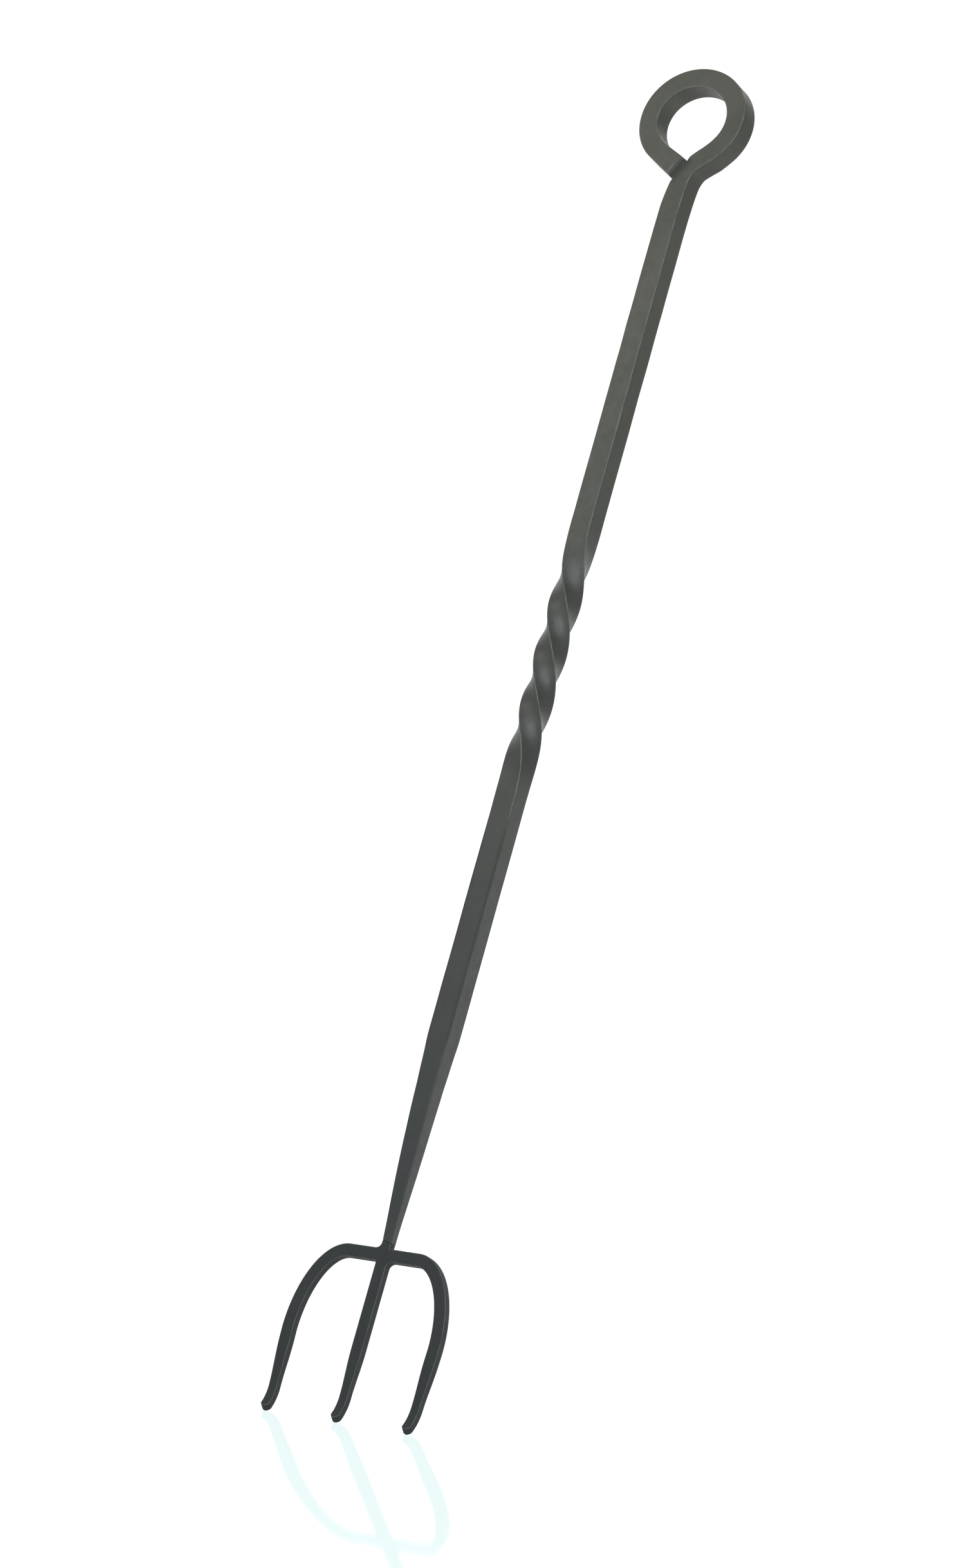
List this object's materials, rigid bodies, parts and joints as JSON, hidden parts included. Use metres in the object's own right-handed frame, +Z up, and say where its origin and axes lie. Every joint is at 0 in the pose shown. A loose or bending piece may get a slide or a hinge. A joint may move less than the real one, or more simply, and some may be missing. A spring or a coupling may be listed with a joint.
{
  "type": "three-tine fork",
  "caption": "Small forged iron fork: a square twisted shaft with a hanging eye at the top and short tines with tips turned forward.",
  "frame": {"origin": "the hanging point: where a hook bears on the inside of the eye, on the shaft's axis", "axes": "+Z up the shaft towards the eye, +X to the right along the crossbar seen from the front, -Y is the front, the way the tine tips turn"},
  "size_m": [0.091, 0.0164, 0.7438],
  "materials": {
    "black_iron": "satin black forged iron, greenish grey where light falls, corners worn lighter",
    "tine_iron": "matt black forged iron, slightly blue, with fine scale",
    "weld_metal": "dark, uneven blackened weld"
  },
  "bodies": {
    "root": {"handle_bar": "black_iron", "tine_bow": "tine_iron", "centre_tine": "tine_iron", "eye_weld": "weld_metal", "neck_weld": "tine_iron", "centre_tine_weld": "tine_iron"}
  },
  "joints": []
}
